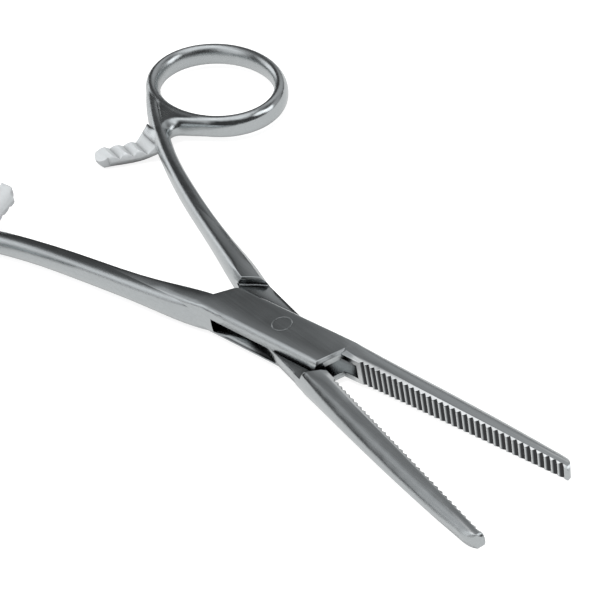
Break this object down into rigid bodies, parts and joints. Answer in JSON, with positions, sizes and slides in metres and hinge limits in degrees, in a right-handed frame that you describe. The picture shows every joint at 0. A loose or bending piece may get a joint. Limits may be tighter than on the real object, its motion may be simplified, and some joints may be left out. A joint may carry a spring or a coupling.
{
  "type": "haemostat forceps",
  "caption": "Straight haemostat forceps with box lock, ratchet handles with finger rings and transversely serrated jaws, held open.",
  "frame": {"origin": "on the axis of the lock pin, at the underside of the box", "axes": "+X along the middle between the two jaws, towards their tips; +Z along the pin axis, upwards; +Y to the side of the jaw of the slotted arm"},
  "size_m": [0.1345, 0.0968, 0.0065],
  "materials": {
    "satin_steel": "satin, edges and rings bright",
    "pin_steel": "satin, ground flush with the box"
  },
  "bodies": {
    "box_arm_body": {"box_arm": "satin_steel", "lock_pin": "pin_steel"},
    "tongue_arm_body": {"tongue_arm": "satin_steel"}
  },
  "joints": [
    {"name": "box_lock", "type": "hinge", "parent": "box_arm_body", "child": "tongue_arm_body", "pos_m": [0, 0, 0.00245], "axis": [0, 0, 1], "range_deg": [-45, 16.65]}
  ]
}
